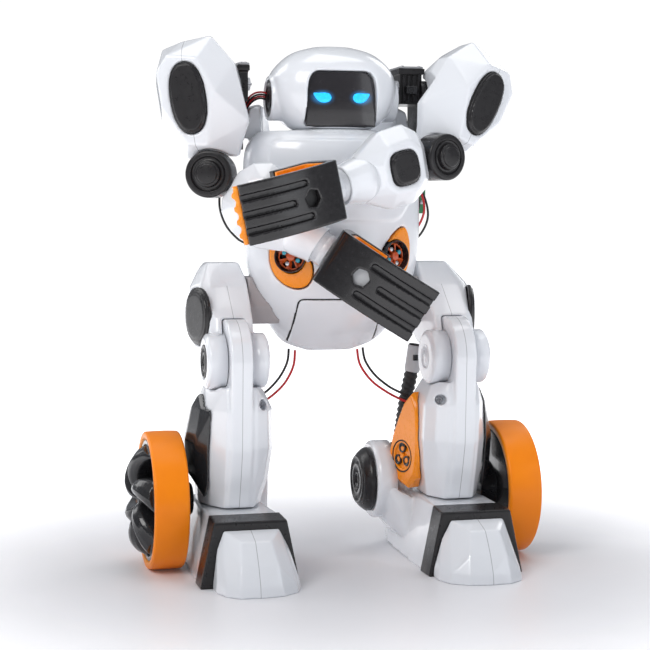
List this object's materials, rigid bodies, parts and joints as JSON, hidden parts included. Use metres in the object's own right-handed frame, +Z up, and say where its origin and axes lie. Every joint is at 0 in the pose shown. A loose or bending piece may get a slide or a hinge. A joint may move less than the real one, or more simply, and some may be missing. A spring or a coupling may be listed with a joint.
{
  "type": "two-legged toy robot kit",
  "caption": "Two-legged toy robot with a turning head, folded arms ending in C-shaped grippers, jointed legs with flat feet and a driven wheel beside each foot.",
  "frame": {"origin": "middle of the footprint box on the floor, under the robot", "axes": "+Z up, the robot faces -Y, its left side is +X"},
  "size_m": [0.222, 0.1284, 0.274],
  "materials": {
    "white": "glossy",
    "light": "satin",
    "charcoal": "satin",
    "orange": "satin",
    "tyre": "satin",
    "grey": "satin",
    "black": "satin",
    "hose": "matte",
    "green": "satin",
    "red": "satin",
    "blackwire": "satin",
    "vent": "satin"
  },
  "bodies": {
    "trunk": {"torso_front_shell": "white", "torso_rear_shell": "white", "battery_hatch": "white", "vent_frame_L": "orange", "vent_frame_R": "orange", "vent_turbine_L": "vent", "vent_turbine_R": "vent", "circuit_board_L": "green", "hip_bracket_L": "grey", "hip_bracket_R": "grey", "shoulder_gearbox_L": "charcoal", "shoulder_gearbox_R": "charcoal", "leg_wire_red_L": "red", "leg_wire_red_R": "red", "leg_wire_black_L": "blackwire", "leg_wire_black_R": "blackwire"},
    "head": {"head_shell": "white", "visor": "charcoal", "ear_cap_L": "charcoal", "ear_cap_R": "charcoal"},
    "upper_arm_L": {"shoulder_shell_L": "white", "shoulder_inset_L": "charcoal", "elbow_hub_L": "charcoal"},
    "forearm_L": {"forearm_shell_L": "white", "forearm_inset_L": "charcoal"},
    "hand_L": {"wrist_L": "light", "gripper_L": "charcoal", "gripper_liner_L": "orange"},
    "thigh_L": {"thigh_shell_L": "white", "thigh_inset_L": "charcoal"},
    "shin_L": {"shin_shell_L": "white", "shin_panel_outer_L": "black", "shin_panel_inner_L": "orange", "foot_shell_L": "white", "foot_band_L": "charcoal", "toe_cap_L": "white", "hose_L": "hose", "motor_cap_L": "charcoal"},
    "wheel_L": {"tyre_L": "tyre", "rim_L": "black"},
    "upper_arm_R": {"shoulder_shell_R": "white", "shoulder_inset_R": "charcoal", "elbow_hub_R": "charcoal"},
    "forearm_R": {"forearm_shell_R": "white", "forearm_inset_R": "charcoal"},
    "hand_R": {"wrist_R": "light", "gripper_R": "charcoal", "gripper_liner_R": "orange"},
    "thigh_R": {"thigh_shell_R": "white", "thigh_inset_R": "charcoal"},
    "shin_R": {"shin_shell_R": "white", "shin_panel_outer_R": "black", "shin_panel_inner_R": "orange", "foot_shell_R": "white", "foot_band_R": "charcoal", "toe_cap_R": "white", "hose_R": "hose"},
    "wheel_R": {"tyre_R": "tyre", "rim_R": "black"}
  },
  "joints": [
    {"name": "head_turn", "type": "hinge", "parent": "trunk", "child": "head", "pos_m": [0, 0.03075, 0.226], "axis": [0, 0, 1], "range_deg": [-30, 30]},
    {"name": "shoulder_L", "type": "hinge", "parent": "trunk", "child": "upper_arm_L", "pos_m": [0.053, 0.03275, 0.246], "axis": [1, 0, 0], "range_deg": [-60, 0]},
    {"name": "elbow_L", "type": "hinge", "parent": "upper_arm_L", "child": "forearm_L", "pos_m": [0.0492, -0.00395, 0.2116], "axis": [0.3746, -0.9272, 0], "range_deg": [-35, 0]},
    {"name": "wrist_L", "type": "hinge", "parent": "forearm_L", "child": "hand_L", "pos_m": [-0.00489, -0.02581, 0.19759], "axis": [-0.9016, -0.3643, -0.2334], "range_deg": [-10, 10]},
    {"name": "shoulder_R", "type": "hinge", "parent": "trunk", "child": "upper_arm_R", "pos_m": [-0.053, 0.03275, 0.246], "axis": [1, 0, 0], "range_deg": [-60, 0]},
    {"name": "elbow_R", "type": "hinge", "parent": "upper_arm_R", "child": "forearm_R", "pos_m": [-0.0684, 0.00875, 0.2024], "axis": [-0.4067, -0.9135, 0], "range_deg": [-25, 0]},
    {"name": "wrist_R", "type": "hinge", "parent": "forearm_R", "child": "hand_R", "pos_m": [-0.02243, -0.01172, 0.16972], "axis": [0.7662, -0.3411, -0.5446], "range_deg": [-10, 10]},
    {"name": "hip_L", "type": "hinge", "parent": "trunk", "child": "thigh_L", "pos_m": [0.0468, 0.03475, 0.138], "axis": [1, 0, 0], "range_deg": [-20, 20], "deforming": ["leg_wire_red_L", "leg_wire_black_L"]},
    {"name": "knee_L", "type": "hinge", "parent": "thigh_L", "child": "shin_L", "pos_m": [0.0585, -0.00125, 0.108], "axis": [1, 0, 0], "range_deg": [-10, 22], "deforming": ["hose_L"]},
    {"name": "wheel_L", "type": "hinge", "parent": "shin_L", "child": "wheel_L", "pos_m": [0.093, 0.01675, 0.0355], "axis": [1, 0, 0], "continuous": true},
    {"name": "hip_R", "type": "hinge", "parent": "trunk", "child": "thigh_R", "pos_m": [-0.0468, 0.03475, 0.138], "axis": [1, 0, 0], "range_deg": [-20, 20], "deforming": ["leg_wire_red_R", "leg_wire_black_R"]},
    {"name": "knee_R", "type": "hinge", "parent": "thigh_R", "child": "shin_R", "pos_m": [-0.0585, -0.00125, 0.108], "axis": [1, 0, 0], "range_deg": [-10, 22], "deforming": ["hose_R"]},
    {"name": "wheel_R", "type": "hinge", "parent": "shin_R", "child": "wheel_R", "pos_m": [-0.093, 0.01675, 0.0355], "axis": [1, 0, 0], "continuous": true}
  ],
  "couplings": [
    {"joint": "shoulder_R", "follows": "shoulder_L", "ratio": 1}
  ]
}
